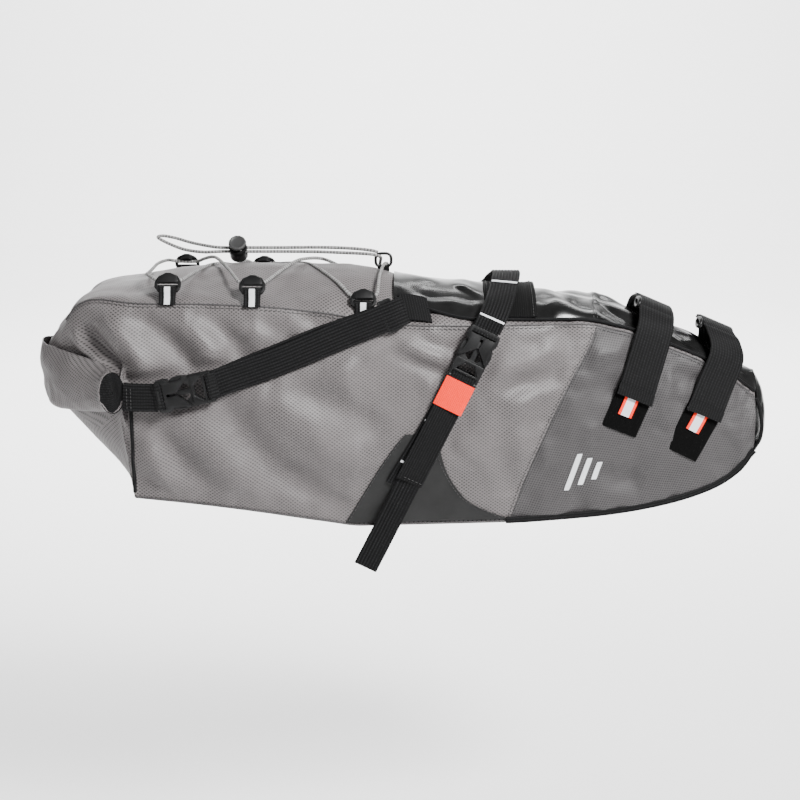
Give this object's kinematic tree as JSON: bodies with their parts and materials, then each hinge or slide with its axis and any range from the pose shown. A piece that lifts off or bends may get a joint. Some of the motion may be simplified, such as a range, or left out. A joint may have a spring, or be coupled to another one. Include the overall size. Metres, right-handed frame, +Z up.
{
  "type": "saddle bag",
  "caption": "Long roll-top seat pack that hangs from the saddle rails and straps to the seatpost, with side-release buckles and elastic lacing on top.",
  "frame": {"origin": "on the bag's centreline, where it hangs from the saddle rails under the rail strap", "axes": "+X to the nose at the seatpost, +Z up, right side at -Y"},
  "size_m": [0.6672, 0.1976, 0.2943],
  "materials": {
    "cloth_grey": "woven",
    "cloth_dark": "woven",
    "coated_black": "gloss coated",
    "patch_black": "matte coated",
    "band_charcoal": "woven",
    "webbing_black": "woven",
    "webbing_red": "woven",
    "hook_fleece": "looped pile",
    "reflective_white": "satin",
    "label": "woven",
    "plastic_black": "satin",
    "plastic_grey": "satin",
    "cord_grey": "braided",
    "stiffener": "matte",
    "spring_steel": "polished"
  },
  "bodies": {
    "bag": {"side_panel_right": "cloth_grey", "side_panel_left": "cloth_grey", "nose_panel_right": "cloth_dark", "nose_panel_left": "cloth_dark", "reinforcement_patch_right": "patch_black", "reinforcement_patch_left": "patch_black", "rail_buckle_socket_right": "plastic_black", "rail_buckle_socket_left": "plastic_black", "anchor_strap_right": "webbing_black", "anchor_strap_left": "webbing_black", "roll_tab_right": "webbing_black", "roll_tab_left": "webbing_black", "roll_buckle_socket_right": "plastic_black", "roll_buckle_socket_left": "plastic_black", "roll_strap_right": "webbing_black", "roll_strap_left": "webbing_black", "strap_lock_right": "plastic_black", "strap_lock_left": "plastic_black", "lock_tab_right": "webbing_black", "lock_tab_left": "webbing_black", "top_panel": "cloth_grey", "rail_top_panel": "coated_black", "base_panel": "cloth_grey", "nose_front_panel": "coated_black", "mouth_collar": "cloth_grey", "rear_panel": "cloth_grey", "roll_closure": "cloth_grey", "closure_stiffener": "stiffener", "base_stiffener": "stiffener", "rail_band": "band_charcoal", "rail_strap": "webbing_black", "seatpost_strap_rear": "webbing_black", "seatpost_strap_front": "webbing_black", "front_cord_ring": "plastic_black", "elastic_cord": "cord_grey", "cord_hook_1_right": "plastic_black", "cord_hook_1_left": "plastic_black", "cord_hook_2_right": "plastic_black", "cord_hook_2_left": "plastic_black", "cord_hook_3_right": "plastic_black", "cord_hook_3_left": "plastic_black", "hook_loop_1_right": "webbing_black", "hook_loop_1_left": "webbing_black", "hook_loop_2_right": "webbing_black", "hook_loop_2_left": "webbing_black", "hook_loop_3_right": "webbing_black", "hook_loop_3_left": "webbing_black"},
    "rail_plug_right": {"rail_buckle_plug_right": "plastic_black", "adjuster_strap_right": "webbing_black"},
    "tail_right": {"strap_tail_right": "webbing_black"},
    "roll_plug_right": {"roll_buckle_plug_right": "plastic_black"},
    "rail_plug_left": {"rail_buckle_plug_left": "plastic_black", "adjuster_strap_left": "webbing_black"},
    "tail_left": {"strap_tail_left": "webbing_black"},
    "roll_plug_left": {"roll_buckle_plug_left": "plastic_black"},
    "flap_rear": {"seatpost_flap_rear": "webbing_black"},
    "flap_front": {"seatpost_flap_front": "webbing_black"},
    "cord_lock": {"cord_lock_body": "plastic_black", "cord_lock_spring": "spring_steel"},
    "cord_lock_button": {"cord_lock_button": "plastic_grey"}
  },
  "joints": [
    {"name": "rail_release_right", "type": "slide", "parent": "bag", "child": "rail_plug_right", "axis": [-0.4422, -0.117, -0.8893], "range_m": [0, 0.022]},
    {"name": "tail_swing_right", "type": "hinge", "parent": "rail_plug_right", "child": "tail_right", "pos_m": [-0.0894, -0.0754, -0.1635], "axis": [-0.8955, 0, 0.4451], "range_deg": [0, 90]},
    {"name": "roll_release_right", "type": "slide", "parent": "bag", "child": "roll_plug_right", "axis": [0.9786, 0.0499, 0.1997], "range_m": [0, 0.022]},
    {"name": "rail_release_left", "type": "slide", "parent": "bag", "child": "rail_plug_left", "axis": [-0.4422, 0.117, -0.8893], "range_m": [0, 0.022]},
    {"name": "tail_swing_left", "type": "hinge", "parent": "rail_plug_left", "child": "tail_left", "pos_m": [-0.0894, 0.0754, -0.1635], "axis": [0.8955, 0, -0.4451], "range_deg": [0, 90]},
    {"name": "roll_release_left", "type": "slide", "parent": "bag", "child": "roll_plug_left", "axis": [0.9786, -0.0499, 0.1997], "range_m": [0, 0.022]},
    {"name": "flap_peel_rear", "type": "hinge", "parent": "bag", "child": "flap_rear", "pos_m": [0.131, -0.0415, -0.0335], "axis": [-0.9107, -0.1467, 0.386], "range_deg": [0, 110]},
    {"name": "flap_peel_front", "type": "hinge", "parent": "bag", "child": "flap_front", "pos_m": [0.199, -0.0295, -0.057], "axis": [-0.9026, -0.1978, 0.3824], "range_deg": [0, 110]},
    {"name": "cord_lock_slide", "type": "slide", "parent": "bag", "child": "cord_lock", "axis": [1, 0, 0], "range_m": [-0.004, 0.03]},
    {"name": "cord_lock_press", "type": "slide", "parent": "cord_lock", "child": "cord_lock_button", "axis": [0, 0.7507, -0.6606], "range_m": [0, 0.003], "stiffness_N_per_m": 300, "springref_m": -0.003, "deforming": ["cord_lock_spring"]}
  ]
}
